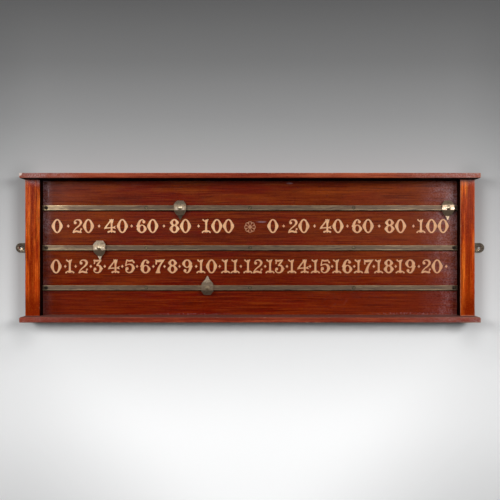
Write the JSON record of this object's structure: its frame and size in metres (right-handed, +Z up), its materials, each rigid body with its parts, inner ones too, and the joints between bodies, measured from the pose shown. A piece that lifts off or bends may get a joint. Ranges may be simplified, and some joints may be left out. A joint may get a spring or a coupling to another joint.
{
  "type": "billiard scoreboard",
  "caption": "Wall-hung wooden scoreboard with brass rails, on which spring-held pointers slide sideways to mark the score, and a pierced hanging plate at each side.",
  "frame": {"origin": "centre of the board's back, in the plane of the wall that it hangs against", "axes": "+X to the viewer's right along the rails, +Y into the wall, +Z up; the viewer stands at -Y"},
  "size_m": [0.965, 0.061, 0.297],
  "materials": {
    "panel_mahogany": "aged French polish over dark mahogany, horizontal grain",
    "stile_mahogany": "French-polished ribbon-striped mahogany, upright grain",
    "shelf_mahogany": "worn French polish over mahogany",
    "packing_mahogany": "dark unpolished mahogany",
    "rail_brass": "dull tarnished brass, brighter along its edges",
    "plate_brass": "aged sheet brass, rubbed bright across the band",
    "clip_brass": "aged spring brass",
    "rivet_brass": "rubbed bright brass",
    "hanger_brass": "dark bronzed brass, bright round the hole",
    "screw_brass": "aged brass"
  },
  "bodies": {
    "board": {"score_panel": "panel_mahogany", "left_stile": "stile_mahogany", "right_stile": "stile_mahogany", "top_shelf": "shelf_mahogany", "bottom_shelf": "shelf_mahogany", "top_shelf_screw_1": "screw_brass", "top_shelf_screw_2": "screw_brass", "top_shelf_screw_3": "screw_brass", "top_shelf_screw_4": "screw_brass", "bottom_shelf_screw_1": "screw_brass", "bottom_shelf_screw_2": "screw_brass", "bottom_shelf_screw_3": "screw_brass", "bottom_shelf_screw_4": "screw_brass", "panel_screw_1": "screw_brass", "panel_screw_2": "screw_brass", "panel_screw_3": "screw_brass", "panel_screw_4": "screw_brass", "upper_rail_packing": "packing_mahogany", "upper_rail_strip": "rail_brass", "upper_rail_screw_1": "screw_brass", "upper_rail_screw_2": "screw_brass", "upper_rail_screw_3": "screw_brass", "upper_rail_stop_1": "screw_brass", "upper_rail_stop_2": "screw_brass", "middle_rail_packing": "packing_mahogany", "middle_rail_strip": "rail_brass", "middle_rail_screw_1": "screw_brass", "middle_rail_screw_2": "screw_brass", "middle_rail_screw_3": "screw_brass", "middle_rail_stop_1": "screw_brass", "middle_rail_stop_2": "screw_brass", "lower_rail_packing": "packing_mahogany", "lower_rail_strip": "rail_brass", "lower_rail_screw_1": "screw_brass", "lower_rail_screw_2": "screw_brass", "lower_rail_screw_3": "screw_brass", "lower_rail_stop_1": "screw_brass", "lower_rail_stop_2": "screw_brass", "left_hanging_plate": "hanger_brass", "left_hanging_plate_screw_1": "screw_brass", "left_hanging_plate_screw_2": "screw_brass", "right_hanging_plate": "hanger_brass", "right_hanging_plate_screw_1": "screw_brass", "right_hanging_plate_screw_2": "screw_brass"},
    "upper_left_pointer": {"upper_left_pointer_plate": "plate_brass", "upper_left_pointer_clip": "clip_brass", "upper_left_pointer_spring": "clip_brass", "upper_left_pointer_rivet": "rivet_brass"},
    "upper_right_pointer": {"upper_right_pointer_plate": "plate_brass", "upper_right_pointer_clip": "clip_brass", "upper_right_pointer_spring": "clip_brass", "upper_right_pointer_rivet": "rivet_brass"},
    "middle_pointer": {"middle_pointer_plate": "plate_brass", "middle_pointer_clip": "clip_brass", "middle_pointer_spring": "clip_brass", "middle_pointer_rivet": "rivet_brass"},
    "lower_pointer": {"lower_pointer_plate": "plate_brass", "lower_pointer_clip": "clip_brass", "lower_pointer_spring": "clip_brass", "lower_pointer_rivet": "rivet_brass"}
  },
  "joints": [
    {"name": "upper_left_slide", "type": "slide", "parent": "board", "child": "upper_left_pointer", "axis": [1, 0, 0], "range_m": [-0.26058, 0.12886]},
    {"name": "upper_right_slide", "type": "slide", "parent": "board", "child": "upper_right_pointer", "axis": [1, 0, 0], "range_m": [-0.38945, 0]},
    {"name": "middle_slide", "type": "slide", "parent": "board", "child": "middle_pointer", "axis": [1, 0, 0], "range_m": [-0.09678, 0.70911]},
    {"name": "lower_slide", "type": "slide", "parent": "board", "child": "lower_pointer", "axis": [1, 0, 0], "range_m": [-0.31615, 0.48974]}
  ]
}
